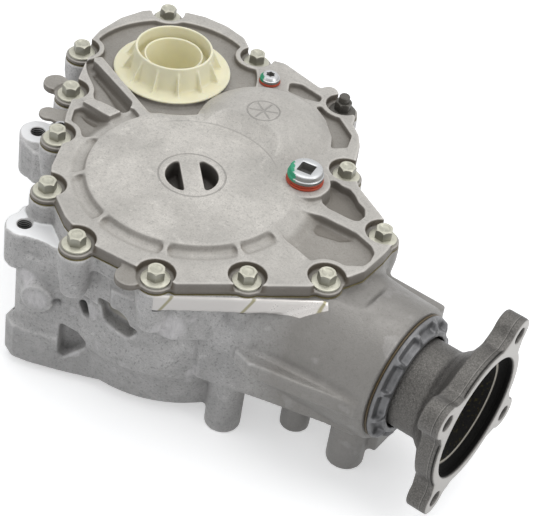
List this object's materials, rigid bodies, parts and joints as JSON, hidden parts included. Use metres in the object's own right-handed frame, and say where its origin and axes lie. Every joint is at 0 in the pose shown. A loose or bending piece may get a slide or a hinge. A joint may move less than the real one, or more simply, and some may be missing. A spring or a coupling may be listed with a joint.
{
  "type": "power take-off unit",
  "caption": "Power take-off unit: an aluminium case whose gear train turns a transverse transaxle's drive through a bevel pair to a companion flange for the rear propshaft.",
  "frame": {"origin": "on the input shaft's axis, at the face that bolts to the transaxle", "axes": "+Z along the input shaft, away from the transaxle and towards the cover; +X along the output shaft, towards the companion flange; +Y follows"},
  "size_m": [0.3808, 0.2641, 0.1429],
  "materials": {
    "cast_aluminium": "as-cast, shot-blasted satin, cool grey",
    "cover_aluminium": "as-cast satin, slightly warm grey",
    "sealant": "cured sealant film",
    "zinc_steel": "zinc flake, pale",
    "dark_steel": "black phosphate",
    "bright_zinc": "bright zinc",
    "red_washer": "red coated sealing washer",
    "cream_nylon": "natural moulded plastic, translucent",
    "seal_rubber": "matt black",
    "gold_rubber": "brown rubber",
    "collar_metal": "cast, satin",
    "cast_iron": "rough cast, dark grey-brown",
    "nut_steel": "dull zinc",
    "magnet": "ferrite, matt",
    "gear_steel": "ground and hardened",
    "shaft_steel": "turned",
    "bearing_steel": "ground"
  },
  "bodies": {
    "case": {"main_housing": "cast_aluminium", "cover": "cover_aluminium", "cover_sealant": "sealant", "cover_bolts": "zinc_steel", "cover_stud_bolt": "dark_steel", "dowel_pins": "shaft_steel", "fill_plug": "bright_zinc", "fill_plug_washer": "red_washer", "level_plug": "bright_zinc", "level_plug_washer": "red_washer", "input_seal": "seal_rubber", "transaxle_seal": "seal_rubber", "transaxle_o_ring": "seal_rubber", "input_upper_cup": "bearing_steel", "input_lower_cup": "bearing_steel", "idler_upper_cup": "bearing_steel", "idler_lower_cup": "bearing_steel", "transfer_upper_cup": "bearing_steel", "transfer_lower_cup": "bearing_steel", "head_bearing_cup": "bearing_steel", "tail_bearing_cup": "bearing_steel", "transfer_shim": "shaft_steel", "bearing_collar": "collar_metal", "collar_o_ring": "gold_rubber", "output_seal": "seal_rubber", "housing_magnet": "magnet"},
    "input": {"input_shaft": "shaft_steel", "input_gear": "gear_steel", "input_upper_cone": "bearing_steel", "input_lower_cone": "bearing_steel"},
    "idler": {"idler_shaft": "shaft_steel", "idler_gear": "gear_steel", "idler_upper_cone": "bearing_steel", "idler_lower_cone": "bearing_steel"},
    "transfer": {"transfer_shaft": "shaft_steel", "transfer_gear": "gear_steel", "ring_gear": "gear_steel", "ring_gear_bolts": "dark_steel", "transfer_upper_cone": "bearing_steel", "transfer_lower_cone": "bearing_steel"},
    "pinion": {"pinion_shaft": "shaft_steel", "pinion_shim": "shaft_steel", "head_bearing_cone": "bearing_steel", "tail_bearing_cone": "bearing_steel", "crush_sleeve": "shaft_steel", "companion_flange": "cast_iron", "pinion_nut": "nut_steel"},
    "cap": {"shipping_cap": "cream_nylon"}
  },
  "joints": [
    {"name": "transfer_spin", "type": "hinge", "parent": "case", "child": "transfer", "pos_m": [0.0825, -0.0851, 0.06], "axis": [0, 0, 1], "continuous": true},
    {"name": "idler_spin", "type": "hinge", "parent": "case", "child": "idler", "pos_m": [0.0825, -0.0091, 0.09], "axis": [0, 0, 1], "continuous": true},
    {"name": "input_spin", "type": "hinge", "parent": "case", "child": "input", "pos_m": [0, 0, 0.06], "axis": [0, 0, 1], "continuous": true},
    {"name": "pinion_spin", "type": "hinge", "parent": "case", "child": "pinion", "pos_m": [0.17, -0.0851, 0.0721], "axis": [1, 0, 0], "continuous": true},
    {"name": "cap_pull", "type": "slide", "parent": "case", "child": "cap", "axis": [0, 0, 1], "range_m": [0, 0.06]}
  ],
  "couplings": [
    {"joint": "idler_spin", "follows": "transfer_spin", "ratio": -0.9},
    {"joint": "input_spin", "follows": "transfer_spin", "ratio": 0.83721},
    {"joint": "pinion_spin", "follows": "transfer_spin", "ratio": 2.5333}
  ]
}
